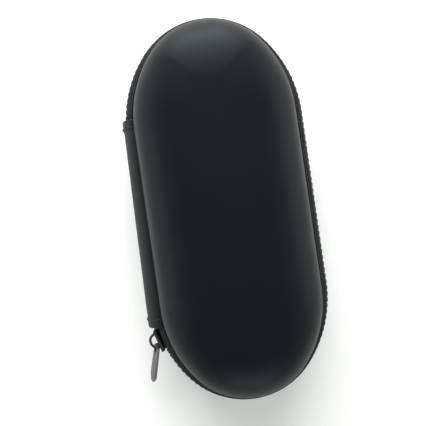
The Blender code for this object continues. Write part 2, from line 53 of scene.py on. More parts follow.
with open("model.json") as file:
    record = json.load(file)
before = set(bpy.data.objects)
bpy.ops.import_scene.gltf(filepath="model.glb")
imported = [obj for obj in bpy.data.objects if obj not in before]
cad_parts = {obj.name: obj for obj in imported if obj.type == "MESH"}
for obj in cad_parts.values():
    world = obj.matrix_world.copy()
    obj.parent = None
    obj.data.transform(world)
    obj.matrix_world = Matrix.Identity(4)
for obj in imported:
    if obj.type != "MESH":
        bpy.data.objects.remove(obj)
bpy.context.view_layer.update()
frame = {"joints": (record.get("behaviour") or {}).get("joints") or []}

MM = 0.001
UP = Vector((0, 0, 1))
QUARTER = math.pi / 2


# Measures read from the frame

def joint(name):
    return next(j for j in frame["joints"] if j["name"] == name)


GAP = 0.3 * MM
HALF_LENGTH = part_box("base_zip_coil")[1].x
HALF_WIDTH = -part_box("base_zip_coil")[0].y
ZIP_HEIGHT = (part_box("base_zip_coil")[1].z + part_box("lid_zip_coil")[0].z) / 2
LID_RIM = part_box("lid_skin")[0].z
LID_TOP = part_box("lid_skin")[1].z
BASE_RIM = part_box("base_skin")[1].z
SEAM_INSET = HALF_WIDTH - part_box("lid_skin")[1].y
SEAM_RISE = LID_RIM - ZIP_HEIGHT
FLANGE_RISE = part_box("lid_zip_tape")[1].z - ZIP_HEIGHT
FOAM_DEPTH = LID_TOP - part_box("lid_foam")[1].z
LINING_DEPTH = LID_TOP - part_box("lid_lining")[1].z
BINDING_INSET = HALF_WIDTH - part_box("lid_binding")[1].y
TAPE_CREST = HALF_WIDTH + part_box("lid_zip_tape")[0].y
SPINE_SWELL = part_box("hinge_spine")[1].y - HALF_WIDTH
SLIDE_AXIS = Vector(joint("slider_travel")["pos_m"])
EYE = Vector(joint("tab_swing")["pos_m"])
LEG_WAY = -Vector(joint("tab_swing")["axis"])

# The outline: straight sides, then a tip arc between two side arcs at each end
STRAIGHT = -SLIDE_AXIS.x
SIDE_DROP = -SLIDE_AXIS.y
SIDE_RADIUS = HALF_WIDTH + SIDE_DROP
END_REACH = HALF_LENGTH - STRAIGHT
TIP_RADIUS = (SIDE_RADIUS ** 2 - END_REACH ** 2 - SIDE_DROP ** 2) / (2 * (SIDE_RADIUS - END_REACH))
TIP_CENTRE = HALF_LENGTH - TIP_RADIUS
SIDE_TURN = math.atan2(TIP_CENTRE - STRAIGHT, SIDE_DROP)

# Shells, as in the frame
LID_POWER = 2.4
BASE_POWER = 2.3
BASE_SHOULDER = 14.0 * MM
RIM_BAND = 0.8 * MM
CROWN_SHARE = 0.08
SKIN = FOAM_DEPTH - GAP
SKIN_EASE = 0.25 * MM
FOAM = LINING_DEPTH - FOAM_DEPTH - GAP
LINING = 0.6 * MM
BINDING = 0.6 * MM
BINDING_EASE = 0.15 * MM

# Zip bands and coils, with the heights of a coil's wire over the middle of the zip
TAPE = 0.8 * MM
TAPE_BULGE = 0.7 * MM
TAPE_BULGE_RUN = 1.7 * MM
TAPE_FLANGE = 5.0 * MM
TAPE_PARTING = 0.9 * MM
CHAIN_HALF = 3.0 * MM
COIL_DEPTH = 1.4 * MM
COIL_DIP = 0.1 * MM
COIL_BACK = 2.7 * MM
COIL_BEND = 2.65 * MM
COIL_LEG = 2.2 * MM
COIL_SEAM = 1.9 * MM
COIL_NECK = -0.35 * MM
COIL_HEAD = -0.72 * MM
THREAD_OFFSET = 0.05 * MM
STITCH_SHARE = 0.42
STITCH_DIP = 0.6

# Hinge strip, which folds between two heights
SPINE = 1.6 * MM
SPINE_EASE = 0.2 * MM
SPINE_END = 45.0 * MM
SPINE_FAR_END = 42.6 * MM
SLIM_END = -0.6 * MM
FULL_END = 1.0 * MM
COVER_TURN = math.radians(-50.0)
END_TAB = 4.4 * MM
END_TAB_SKIN = 0.3 * MM
END_TAB_EASE = 0.12 * MM
END_TAB_TURN = math.radians(-80.0)
TAB_FLARE = 0.35 * MM
TUCK_START = 0.8
TUCK_DEPTH = 1.6 * TAB_FLARE
SEAM_SHARE = 0.22
SEAM_SPAN = 0.9
SEAM_SPACING = 0.7

# Slider and its wire bridge
SLIDER_LENGTH = 9.6 * MM
SLIDER_WIDTH = 9.6 * MM
SLIDER_TAIL = 8.6 * MM
SLIDER_PLATE = 1.25 * MM
SLIDER_LIFT = 0.4 * MM
SLIDER_LIP = 0.8 * MM
SLIDER_KEEPER = 1.1 * MM
SLIDER_EASE = 0.3 * MM
KEEPER_PLAY = 0.8 * MM
NECK_WIDTH = 1.0 * MM
NECK_LENGTH = 2.2 * MM
LEG_LEAN = math.radians(23.5)
LEG_TOP = 4.3 * MM
LEG_BEND = 3.7 * MM
BRIDGE_SPAN = 4.4 * MM
BRIDGE_RISE = 5.1 * MM
BRIDGE_CORNER = 2.1 * MM

# Pull tab
TAB_THICKNESS = 1.2 * MM
TAB_EASE = 0.18 * MM
TAB_TIP = 1.8 * MM
TAB_CHAMFER = 3.0 * MM
TAB_DROOP = math.radians(30.0)
TAB_TWIST = math.radians(25.0)
TAB_YAW = math.radians(8.0)
EYE_HOLE = 2.1 * MM
EYE_SLOT = 1.6 * MM
EYE_RIM = 0.7 * MM

# Net pocket
NET_FRONT = 4.0 * MM
NET_SAG = 0.9 * MM
KNOT_SHARE = 1.7
ELASTIC = 0.8 * MM
ELASTIC_EASE = 0.2 * MM
ELASTIC_RIPPLE = 0.15 * MM
RIPPLE_RUN = 0.55 * MM


class CaseSizes(bpy.types.PropertyGroup):
    """Sizes of the dressing that a maker would change"""

    coil_pitch: FloatProperty(
        name="Coil pitch", description="Distance between two turns of one coil",
        default=1.3 * MM, subtype="DISTANCE")
    coil_wire: FloatProperty(
        name="Coil wire", description="Thickness of the coil's monofilament",
        default=0.6 * MM, subtype="DISTANCE")
    stitch_length: FloatProperty(
        name="Stitch length", description="Distance from one stitch to the next",
        default=2.3 * MM, subtype="DISTANCE")
    thread: FloatProperty(
        name="Thread", description="Thickness of the sewing thread",
        default=0.42 * MM, subtype="DISTANCE")
    bridge_wire: FloatProperty(
        name="Bridge wire", description="Thickness of the slider's wire bridge",
        default=1.1 * MM, subtype="DISTANCE")
    tab_length: FloatProperty(
        name="Tab length", description="Length of the pull tab over its eye",
        default=21.2 * MM, subtype="DISTANCE")
    tab_width: FloatProperty(
        name="Tab width", description="Greatest width of the pull tab",
        default=4.4 * MM, subtype="DISTANCE")
    net_cell: FloatProperty(
        name="Net cell", description="Width of one diamond of the net",
        default=4.2 * MM, subtype="DISTANCE")
    net_strand: FloatProperty(
        name="Net strand", description="Thickness of the net's strands",
        default=0.45 * MM, subtype="DISTANCE")
    stations: IntProperty(
        name="Facets round the case", description="Number of facets round each shell",
        default=288, min=48)


class CaseColours(bpy.types.PropertyGroup):
    """Colours of the case's finishes"""

    skin: FloatVectorProperty(
        name="Skin", description="Soft-touch outer skin",
        default=(0.0048, 0.0062, 0.0066), subtype="COLOR", min=0, max=1)
    band: FloatVectorProperty(
        name="Zip band", description="Woven tape of the zip",
        default=(0.0032, 0.0036, 0.0038), subtype="COLOR", min=0, max=1)
    strip: FloatVectorProperty(
        name="Hinge strip", description="Coated strip on the hinge side",
        default=(0.0055, 0.0058, 0.0068), subtype="COLOR", min=0, max=1)
    coil: FloatVectorProperty(
        name="Coil", description="Nylon coil of the zip",
        default=(0.008, 0.0082, 0.009), subtype="COLOR", min=0, max=1)
    thread: FloatVectorProperty(
        name="Thread", description="Sewing thread",
        default=(0.04, 0.04, 0.043), subtype="COLOR", min=0, max=1)
    lining: FloatVectorProperty(
        name="Lining", description="Knitted lining",
        default=(0.022, 0.022, 0.024), subtype="COLOR", min=0, max=1)
    foam: FloatVectorProperty(
        name="Foam", description="Moulded foam between skin and lining",
        default=(0.02, 0.02, 0.02), subtype="COLOR", min=0, max=1)
    enamel: FloatVectorProperty(
        name="Slider enamel", description="Black enamel on the slider",
        default=(0.02, 0.021, 0.022), subtype="COLOR", min=0, max=1)
    nickel: FloatVectorProperty(
        name="Tab nickel", description="Black nickel on the pull tab",
        default=(0.11, 0.1, 0.103), subtype="COLOR", min=0, max=1)
    floor: FloatVectorProperty(
        name="Floor", description="Pale floor under the case",
        default=(0.98, 0.935, 0.86), subtype="COLOR", min=0, max=1)


def sizes():
    return bpy.context.scene.case_sizes


def colours():
    return bpy.context.scene.case_colours


# Outline

def outline_segments():
    """The outline's stretches, from the middle of the hinge side: a length, and what places a point."""
    def line(start, heading):
        normal = Vector((heading.y, -heading.x))
        return lambda t: (start + heading * t, normal)

    def arc(centre, radius, first):
        def at(t):
            angle = first + t / radius
            normal = Vector((math.cos(angle), math.sin(angle)))
            return centre + normal * radius, normal
        return at

    side = SIDE_RADIUS * SIDE_TURN
    tip = TIP_RADIUS * (math.pi - 2 * SIDE_TURN)
    back, ahead = Vector((-1, 0)), Vector((1, 0))
    return [
        (STRAIGHT, line(Vector((0, HALF_WIDTH)), back)),
        (side, arc(Vector((-STRAIGHT, -SIDE_DROP)), SIDE_RADIUS, QUARTER)),
        (tip, arc(Vector((-TIP_CENTRE, 0)), TIP_RADIUS, QUARTER + SIDE_TURN)),
        (side, arc(Vector((-STRAIGHT, SIDE_DROP)), SIDE_RADIUS, 3 * QUARTER - SIDE_TURN)),
        (2 * STRAIGHT, line(Vector((-STRAIGHT, -HALF_WIDTH)), ahead)),
        (side, arc(Vector((STRAIGHT, SIDE_DROP)), SIDE_RADIUS, 3 * QUARTER)),
        (tip, arc(Vector((TIP_CENTRE, 0)), TIP_RADIUS, 3 * QUARTER + SIDE_TURN)),
        (side, arc(Vector((STRAIGHT, -SIDE_DROP)), SIDE_RADIUS, QUARTER - SIDE_TURN)),
        (STRAIGHT, line(Vector((STRAIGHT, HALF_WIDTH)), back)),
    ]


SEGMENTS = outline_segments()
PERIMETER = sum(length for length, at in SEGMENTS)
ZIP_START = SPINE_END + GAP
ZIP_END = PERIMETER - SPINE_FAR_END - GAP


def locate(distance):
    """The outline's place and outward normal at a distance along it."""
    left = distance % PERIMETER
    for length, at in SEGMENTS:
        if left <= length:
            return at(left)
        left -= length
    return SEGMENTS[-1][1](SEGMENTS[-1][0])


def on_band(distance, out, rise):
    """A point beside the outline, moved outwards and up from the middle of the zip."""
    place, normal = locate(distance)
    flat = place + normal * out
    return Vector((flat.x, flat.y, ZIP_HEIGHT + rise))


def evenly(first, last, step):
    count = max(2, round((last - first) / step))
    return [first + (last - first) * i / count for i in range(count + 1)]


def half_width_at(x, inset):
    """Half the width of the outline at x, drawn in by inset."""
    along = abs(x)
    if along <= STRAIGHT:
        return HALF_WIDTH - inset
    if along <= STRAIGHT + (SIDE_RADIUS - inset) * math.sin(SIDE_TURN):
        return math.sqrt((SIDE_RADIUS - inset) ** 2 - (along - STRAIGHT) ** 2) - SIDE_DROP
    return math.sqrt(max(0.0, (TIP_RADIUS - inset) ** 2 - (along - TIP_CENTRE) ** 2))


def half_length_at(y, inset):
    return TIP_CENTRE + math.sqrt((TIP_RADIUS - inset) ** 2 - y ** 2)


# Meshes

def new_object(name, data):
    obj = bpy.data.objects.new(name, data)
    bpy.context.scene.collection.objects.link(obj)
    return obj


def loft(name, rows, along, closed=False, cap=None):
    """A surface through rows of points, with a UV map in metres along and across the rows."""
    count = len(rows[0])
    across = [0.0]
    for low, high in zip(rows, rows[1:]):
        across.append(across[-1] + (high[0] - low[0]).length)
    faces, corners = [], []
    for r in range(len(rows) - 1):
        for i in range(count if closed else count - 1):
            j = (i + 1) % count
            low, high = r * count, (r + 1) * count
            faces.append((low + i, low + j, high + j, high + i))
            corners += [(along[i], across[r]), (along[i + 1], across[r])]
            corners += [(along[i + 1], across[r + 1]), (along[i], across[r + 1])]
    if cap == "top":
        faces.append(tuple(range((len(rows) - 1) * count, len(rows) * count)))
    if cap == "bottom":
        faces.append(tuple(reversed(range(count))))
    if cap:
        corners += [(point, 0.0) for point in along[:count]]
    mesh = bpy.data.meshes.new(name)
    mesh.from_pydata([point for row in rows for point in row], [], faces)
    layer = mesh.uv_layers.new(name="cloth")
    layer.data.foreach_set("uv", [value for corner in corners for value in corner])
    return new_object(name, mesh)


def bake(obj):
    """Turns an object with modifiers, or a curve, into a plain mesh of the same name at the origin."""
    bpy.context.view_layer.update()
    graph = bpy.context.evaluated_depsgraph_get()
    mesh = bpy.data.meshes.new_from_object(obj.evaluated_get(graph))
    mesh.transform(obj.matrix_world)
    name = obj.name
    bpy.data.objects.remove(obj)
    mesh.name = name
    return new_object(name, mesh)


def weld(obj, flatten=False):
    """Merges doubled points, such as those where a cap meets a wall, and turns the faces outwards."""
    bm = bmesh.new()
    bm.from_mesh(obj.data)
    bmesh.ops.remove_doubles(bm, verts=bm.verts, dist=0.001 * MM)
    if flatten:
        bmesh.ops.dissolve_limit(bm, angle_limit=0.01, verts=bm.verts, edges=bm.edges)
    bmesh.ops.recalc_face_normals(bm, faces=bm.faces)
    bm.to_mesh(obj.data)
    bm.free()
    return obj


def eased(obj, width, steps, angle=30):
    """Rounds the edges that turn by more than an angle, and keeps the plain mesh."""
    rounding = obj.modifiers.new("edges", "BEVEL")
    rounding.width = width
    rounding.segments = steps
    rounding.limit_method = "ANGLE"
    rounding.angle_limit = math.radians(angle)
    return bake(obj)


def thicken(obj, depth, thickness, edge=0.0):
    """Gives a surface a wall that starts at a depth under it, with eased rims."""
    wall = obj.modifiers.new("wall", "SOLIDIFY")
    wall.thickness = thickness
    wall.offset = -1 - 2 * depth / thickness
    wall.use_even_offset = True
    wall.use_quality_normals = True
    return eased(obj, edge, 2, 60) if edge else bake(obj)


FOLD = "fold"
SHARP = math.radians(40)


def finish(obj, finish_name, body, slot, *nodes):
    """Gives a piece its finish, parents it to its body's empty or bakes a hinge piece's place into its
    mesh, and hides the CAD nodes that it replaces.
    """
    obj.data.materials.clear()
    obj.data.materials.append(finish_of(finish_name))
    obj.data.shade_smooth()
    obj.data.set_sharp_from_angle(angle=SHARP)
    if body == FOLD:
        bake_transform(obj)
    else:
        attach(obj, body)
    if nodes:
        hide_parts(*nodes)


def run(points):
    return sum((after - before).length for before, after in zip(points, points[1:]))


def declare_cloth(obj, flat=None):
    """Works out the flat size of a sheet piece, cut as a strip of the given size or as a blank for a
    shell, and does nothing more with it.
    """
    if flat is None:
        low, high = (Vector(pick(axis) for axis in zip(*obj.bound_box)) for pick in (min, max))
        size = high - low
        flat = (size.y + 2 * size.z, size.x + 2 * size.z)


# Nodes

def add(tree, kind, values=None, **settings):
    """A node with its settings, and its inputs set or linked."""
    node = tree.nodes.new(kind)
    for key, value in settings.items():
        setattr(node, key, value)
    for key, value in (values or {}).items():
        if isinstance(value, bpy.types.NodeSocket):
            tree.links.new(value, node.inputs[key])
        else:
            node.inputs[key].default_value = value
    return node


def math_node(tree, operation, *values):
    return add(tree, "ShaderNodeMath", dict(enumerate(values)), operation=operation).outputs[0]


def node_tree(name, kind, inputs, outputs):
    """An empty node tree with named sockets, and the ends that they have inside it."""
    tree = bpy.data.node_groups.new(name, kind)
    for way, sockets in (("INPUT", inputs), ("OUTPUT", outputs)):
        for label, socket in sockets.items():
            tree.interface.new_socket(label, in_out=way, socket_type="NodeSocket" + socket)
    return tree, tree.nodes.new("NodeGroupInput").outputs, tree.nodes.new("NodeGroupOutput").inputs


# Shader groups

def grain_group(name):
    """Fine pebbled grain and slow mottling, by size in metres."""
    tree, given, result = node_tree(
        name, "ShaderNodeTree", {"Vector": "Vector", "Size": "Float"},
        {"Height": "Float", "Mottle": "Float"})
    vector = given["Vector"]
    scale = math_node(tree, "DIVIDE", 1.0, given["Size"])

    def noise(share):
        finer = math_node(tree, "MULTIPLY", scale, share)
        values = {"Vector": vector, "Scale": finer, "Detail": 3.0}
        return add(tree, "ShaderNodeTexNoise", values).outputs[0]

    pebbles = add(tree, "ShaderNodeTexVoronoi", {"Vector": vector, "Scale": scale}, feature="SMOOTH_F1")
    height = math_node(tree, "MULTIPLY_ADD", pebbles.outputs["Distance"], 0.6, noise(0.6))
    tree.links.new(height, result["Height"])
    tree.links.new(noise(0.012), result["Mottle"])
    return tree


def cloth_group(name):
    """A cloth pattern to fill in, with its place counted in threads on a UV map in metres."""
    tree, given, result = node_tree(
        name, "ShaderNodeTree", {"Vector": "Vector", "Thread": "Float"}, {"Height": "Float"})
    split = add(tree, "ShaderNodeSeparateXYZ", {0: given["Vector"]}).outputs
    along, across = (math_node(tree, "DIVIDE", split[axis], given["Thread"]) for axis in (0, 1))
    return tree, along, across, result["Height"]


def ribs(tree, value):
    """Rounded ribs, one for each whole step of a value."""
    turns = math_node(tree, "MULTIPLY", value, math.pi)
    return math_node(tree, "ABSOLUTE", math_node(tree, "SINE", turns))


def weave_group(name):
    """A twill of two threads."""
    tree, along, across, height = cloth_group(name)
    steps = math_node(tree, "ADD", math_node(tree, "FLOOR", along), math_node(tree, "FLOOR", across))
    warp = math_node(tree, "LESS_THAN", math_node(tree, "FLOORED_MODULO", steps, 4.0), 2.0)
    over = math_node(tree, "MULTIPLY", ribs(tree, along), warp)
    under = math_node(tree, "MULTIPLY", ribs(tree, across), math_node(tree, "SUBTRACT", 1.0, warp))
    tree.links.new(math_node(tree, "ADD", over, under), height)
    return tree


def knit_group(name):
    """Columns of V-shaped loops."""
    tree, along, across, height = cloth_group(name)
    centred = math_node(tree, "SUBTRACT", math_node(tree, "FRACT", along), 0.5)
    slanted = math_node(tree, "MULTIPLY_ADD", math_node(tree, "ABSOLUTE", centred), 1.4, across)
    tree.links.new(math_node(tree, "MULTIPLY", ribs(tree, slanted), ribs(tree, along)), height)
    return tree


def group(tree, name, values):
    """The outputs of a shared shader group, placed in a material. The group is built on first use."""
    makers = {"Soft grain": grain_group, "Twill weave": weave_group, "Knit loops": knit_group}
    shared = bpy.data.node_groups.get(name) or makers[name](name)
    return add(tree, "ShaderNodeGroup", values, node_tree=shared).outputs


# Finishes

def start_material(name, roughness, metallic=0.0, specular=0.5):
    """A new material, its tree and the inputs of its shader."""
    material = bpy.data.materials.new(name)
    material.use_nodes = True
    shader = material.node_tree.nodes["Principled BSDF"].inputs
    shader["Roughness"].default_value = roughness
    shader["Metallic"].default_value = metallic
    shader["Specular IOR Level"].default_value = specular
    return material, material.node_tree, shader


def shade(colour, factor):
    return (*(min(1.0, c * factor) for c in colour), 1.0)


def mix(tree, mask, first, second, blend="MIX"):
    """Two colours mixed by a mask."""
    values = {0: mask, 6: first, 7: second}
    return add(tree, "ShaderNodeMix", values, data_type="RGBA", blend_type=blend).outputs[2]


def bump(tree, shader, height, distance):
    node = add(tree, "ShaderNodeBump", {"Height": height, "Distance": distance})
    tree.links.new(node.outputs[0], shader["Normal"])


def object_place(tree):
    return add(tree, "ShaderNodeTexCoord").outputs["Object"]


def grained(
        name, colour, size, depth, roughness, spread=0.1, metallic=0.0, specular=0.5, tint=(1, 1, 1)):
    """A moulded or coated finish: fine grain in the surface, slow mottling in its colour and gloss."""
    material, tree, shader = start_material(name, roughness, metallic, specular)
    shader["Specular Tint"].default_value = (*tint, 1.0)
    grain = group(tree, "Soft grain", {"Vector": object_place(tree), "Size": size})
    mottled = mix(tree, grain["Mottle"], shade(colour, 0.85), shade(colour, 1.18))
    tree.links.new(mottled, shader["Base Color"])
    gloss = add(tree, "ShaderNodeMapRange", {
        "Value": grain["Mottle"], "To Min": roughness - spread, "To Max": roughness + spread})
    tree.links.new(gloss.outputs[0], shader["Roughness"])
    bump(tree, shader, grain["Height"], depth)
    return material


def woven(name, colour, thread, depth, roughness, pattern="Twill weave"):
    """A woven or knitted finish on the piece's own UV map, with shade painted into the grooves between
    its threads.
    """
    material, tree, shader = start_material(name, roughness, specular=0.12)
    place = add(tree, "ShaderNodeUVMap", uv_map="cloth").outputs[0]
    cloth = group(tree, pattern, {"Vector": place, "Thread": thread})["Height"]
    grain = group(tree, "Soft grain", {"Vector": object_place(tree), "Size": thread * 0.5})
    # Painted shade: the colour follows the cloth's height, darker in the grooves between threads and
    # lighter on their crests. The yarn's own slow mottling is mixed in.
    mottle_and_thread_shade = math_node(
        tree, "MULTIPLY_ADD", grain["Mottle"], 0.5, math_node(tree, "MULTIPLY", cloth, 0.5))
    tree.links.new(mix(tree, mottle_and_thread_shade, shade(colour, 0.6), shade(colour, 1.5)), shader["Base Color"])
    shader["Sheen Weight"].default_value = 0.03
    shader["Sheen Roughness"].default_value = 0.5
    bump(tree, shader, math_node(tree, "MULTIPLY_ADD", grain["Height"], 0.25, cloth), depth)
    return material


# Maker, material, colour, width and depth of the pattern in mm, roughness, and what else differs
FINISHES = {
    "skin": (
        grained, "soft_touch_skin", "skin", 0.35, 0.02, 0.46,
        {"spread": 0.03, "specular": 0.13, "tint": (0.8, 0.9, 1.0)}),
    "band": (woven, "woven_band", "band", 0.55, 0.12, 0.8, {}),
    "strip": (grained, "coated_strip", "strip", 0.5, 0.05, 0.58, {"spread": 0.06, "specular": 0.25}),
    "coil": (grained, "nylon_coil", "coil", 0.3, 0.01, 0.4, {"spread": 0.08, "specular": 0.25}),
    "thread": (grained, "sewing_thread", "thread", 0.12, 0.03, 0.7, {"specular": 0.2}),
    "lining": (woven, "knit_lining", "lining", 0.9, 0.2, 0.9, {"pattern": "Knit loops"}),
    "binding": (woven, "binding_tape", "band", 0.45, 0.1, 0.85, {}),
    "foam": (grained, "moulded_foam", "foam", 0.5, 0.15, 0.9, {"spread": 0.05}),
    "enamel": (grained, "slider_enamel", "enamel", 0.6, 0.008, 0.42, {"spread": 0.08}),
    "nickel": (grained, "black_nickel", "nickel", 0.4, 0.006, 0.38, {"spread": 0.08, "metallic": 0.85}),
    "net": (grained, "net_cord", "thread", 0.15, 0.05, 0.8, {}),
    "elastic": (woven, "ribbed_elastic", "band", 0.5, 0.15, 0.85, {}),
}


def finish_of(name):
    """One of the case's finishes, built on first use."""
    maker, title, colour, width, depth, roughness, more = FINISHES[name]
    return bpy.data.materials.get(title) or maker(
        title, getattr(colours(), colour), width * MM, depth * MM, roughness, **more)


# Geometry Nodes

def end_tree(tree, shapes, given, result):
    """Ends a tree with real copies in their finish."""
    real = add(tree, "GeometryNodeRealizeInstances", {"Geometry": shapes.outputs[0]})
    painted = add(tree, "GeometryNodeSetMaterial", {
        "Geometry": real.outputs[0], "Material": given["Finish"]})
    tree.links.new(painted.outputs[0], result["Result"])
    return tree


def repeat_tree(name, pivot):
    """Copies of a piece at even distances along a curve, each turned along it."""
    tree, given, result = node_tree(
        name, "GeometryNodeTree",
        {"Path": "Geometry", "Piece": "Object", "Spacing": "Float", "Finish": "Material"},
        {"Result": "Geometry"})
    points = add(tree, "GeometryNodeCurveToPoints", {
        "Curve": given["Path"], "Length": given["Spacing"]}, mode="LENGTH").outputs
    turn = add(tree, "FunctionNodeAlignRotationToVector", {
        "Vector": points["Tangent"]}, axis="X", pivot_axis=pivot)
    piece = add(tree, "GeometryNodeObjectInfo", {"Object": given["Piece"]})
    copies = add(tree, "GeometryNodeInstanceOnPoints", {
        "Points": points["Points"], "Instance": piece.outputs["Geometry"],
        "Rotation": turn.outputs["Rotation"]})
    return end_tree(tree, copies, given, result)


def net_tree():
    """Round strands along the edges of a flat mesh, with a knot at each crossing."""
    tree, given, result = node_tree(
        "Knotted net", "GeometryNodeTree",
        {"Edges": "Geometry", "Strand": "Float", "Knot": "Float", "Finish": "Material"},
        {"Result": "Geometry"})
    lines = add(tree, "GeometryNodeMeshToCurve", {"Mesh": given["Edges"]})
    ring = add(tree, "GeometryNodeCurvePrimitiveCircle", {"Resolution": 5, "Radius": given["Strand"]})
    strands = add(tree, "GeometryNodeCurveToMesh", {
        "Curve": lines.outputs[0], "Profile Curve": ring.outputs[0], "Fill Caps": True})
    ball = add(tree, "GeometryNodeMeshIcoSphere", {"Radius": given["Knot"], "Subdivisions": 1})
    knots = add(tree, "GeometryNodeInstanceOnPoints", {
        "Points": given["Edges"], "Instance": ball.outputs["Mesh"]})
    both = add(tree, "GeometryNodeJoinGeometry", {0: strands.outputs[0]})
    tree.links.new(knots.outputs[0], both.inputs[0])
    return end_tree(tree, both, given, result)


def grow(obj, tree, **values):
    """Runs a geometry tree on an object, with its inputs set by name, and keeps the plain mesh."""
    growth = obj.modifiers.new("growth", "NODES")
    growth.node_group = tree
    sockets = {s.name: s.identifier for s in tree.interface.items_tree if s.in_out == "INPUT"}
    for key, value in values.items():
        growth[sockets[key]] = value
    return bake(obj)


def add_line(curve, points, closed=False):
    """Adds a straight-sided line through points to a curve."""
    line = curve.splines.new("POLY")
    line.points.add(len(points) - 1)
    for vertex, point in zip(line.points, points):
        vertex.co = (*point, 1.0)
    line.use_cyclic_u = closed


def path(name, points):
    """A plain curve through points."""
    curve = bpy.data.curves.new(name, "CURVE")
    curve.dimensions = "3D"
    add_line(curve, points)
    return new_object(name, curve)


def tube(name, points, radius, roundness=0):
    """A wire through points, square at roundness 0 and rounder above it."""
    obj = path(name, points)
    obj.data.bevel_depth = radius
    obj.data.bevel_resolution = roundness
    obj.data.use_fill_caps = True
    return weld(bake(obj))


def repeat_along(name, points, piece, spacing, finish_name, upright=True):
    """Copies of a piece along a path, as one mesh."""
    title, pivot = ("Upright copies", "Z") if upright else ("Turned copies", "AUTO")
    tree = bpy.data.node_groups.get(title) or repeat_tree(title, pivot)
    return grow(path(name, points), tree, Piece=piece, Spacing=spacing, Finish=finish_of(finish_name))


def stitch_piece():
    """One stitch: a short thread along X that dips into the cloth at both ends, its top towards -Y."""
    s = sizes()
    half = s.stitch_length * STITCH_SHARE
    steps = [i / 2 - 1 for i in range(5)]
    points = [Vector((half * t, s.thread * STITCH_DIP * (t ** 4), 0)) for t in steps]
    return tube("stitch_pattern", points, s.thread / 2)


# Pieces

def round_places(count):
    """Even distances once round the outline."""
    return [PERIMETER * i / count for i in range(count + 1)]


def shell_section(power, steps, last):
    """The shares of a shell's width and height along its rounded section."""
    for i in range(steps + 1):
        turn = last * i / steps
        yield math.cos(turn) ** (2 / power), math.sin(turn) ** (2 / power)


def reach_inwards(distance):
    """How far the outline lies from the case's middle line, along its normal."""
    place, normal = locate(distance)
    if abs(normal.y) < 1e-6:
        return TIP_RADIUS
    return place.y / normal.y


def lid_surface(name, stations, steps):
    """The lid's outer face: the same rounded section all round, closed by a level crown."""
    places = round_places(stations)
    ring = places[:-1]
    rows = [[on_band(s, -SEAM_INSET, SEAM_RISE) for s in ring]]
    last = math.acos(CROWN_SHARE ** (LID_POWER / 2))
    for width, height in shell_section(LID_POWER, steps, last):
        rise = SEAM_RISE + RIM_BAND + (LID_TOP - LID_RIM - RIM_BAND) * height
        rows.append([
            on_band(s, -SEAM_INSET - (reach_inwards(s) - SEAM_INSET) * (1 - width), rise)
            for s in ring])
    return loft(name, rows, places, closed=True, cap="top")


def base_surface(name, stations, steps):
    """The base's outer face: a rounded shoulder down to a flat rest face."""
    places = round_places(stations)
    ring = places[:-1]
    rows = [[on_band(s, -SEAM_INSET, -SEAM_RISE) for s in ring]]
    for width, depth in shell_section(BASE_POWER, steps, QUARTER):
        out = -SEAM_INSET - BASE_SHOULDER * (1 - width)
        rise = -SEAM_RISE - RIM_BAND - (BASE_RIM - RIM_BAND) * depth
        rows.append([on_band(s, out, rise) for s in ring])
    return loft(name, rows[::-1], places, closed=True, cap="bottom")


SURFACES = {"lid": lid_surface, "base": base_surface}
SIDES = (("lid", 1), ("base", -1))


class CASE_OT_shells(bpy.types.Operator):
    """Make the soft-touch skin of both shells"""

    bl_idname = "carry_case.shells"
    bl_label = "Shell skins"

    def execute(self, context):
        for side, steps in (("lid", 40), ("base", 22)):
            surface = SURFACES[side](side + "_cover", sizes().stations, steps)
            cover = thicken(surface, 0.0, SKIN, SKIN_EASE)
            finish(cover, "skin", side, "skin", side + "_skin")
            declare_cloth(cover)
        return {"FINISHED"}


class CASE_OT_padding(bpy.types.Operator):
    """Make the moulded foam and the knitted lining of both shells"""

    bl_idname = "carry_case.padding"
    bl_label = "Foam and lining"

    def execute(self, context):
        stations = sizes().stations // 2
        for side, steps in (("lid", 20), ("base", 14)):
            foam = thicken(SURFACES[side](side + "_padding", stations, steps), FOAM_DEPTH, FOAM)
            finish(foam, "foam", side, "foam", side + "_foam")
            knit = thicken(SURFACES[side](side + "_knit", stations, steps), LINING_DEPTH, LINING)
            finish(knit, "lining", side, "lining", side + "_lining")
            declare_cloth(knit)
        return {"FINISHED"}


def tape_profile(steps=8):
    """The band's outer face, from its inner edge at the coil to the flange under the shell's rim."""
    face = -TAPE_CREST - TAPE_BULGE
    edge = CHAIN_HALF + GAP
    start = edge + TAPE_BULGE_RUN
    points = [(face, TAPE_PARTING), (face, (TAPE_PARTING + edge) / 2), (face, edge)]
    for i in range(1, 4):
        t = i / 4
        points.append((face + TAPE_BULGE * t * t * (3 - 2 * t), edge + TAPE_BULGE_RUN * t))
    for i in range(steps + 1):
        turn = QUARTER * i / steps
        out = -TAPE_CREST - (SEAM_INSET - TAPE_CREST) * (1 - math.cos(turn))
        points.append((out, start + (FLANGE_RISE - start) * math.sin(turn)))
    points.append((-SEAM_INSET - TAPE_FLANGE, FLANGE_RISE))
    return points


class CASE_OT_bands(bpy.types.Operator):
    """Make the woven zip band of both shells"""

    bl_idname = "carry_case.bands"
    bl_label = "Zip bands"

    def execute(self, context):
        places = evenly(ZIP_START, ZIP_END, 1.6 * MM)
        for side, up in SIDES:
            profile = [(out, up * rise) for out, rise in tape_profile()][::up]
            rows = [[on_band(s, out, rise) for s in places] for out, rise in profile]
            band = thicken(loft(side + "_band", rows, places), 0.0, TAPE)
            finish(band, "band", side, "zip_tape", side + "_zip_tape")
            cut = (run([r[0] for r in rows]), ZIP_END - ZIP_START)
            declare_cloth(band, cut)
        return {"FINISHED"}


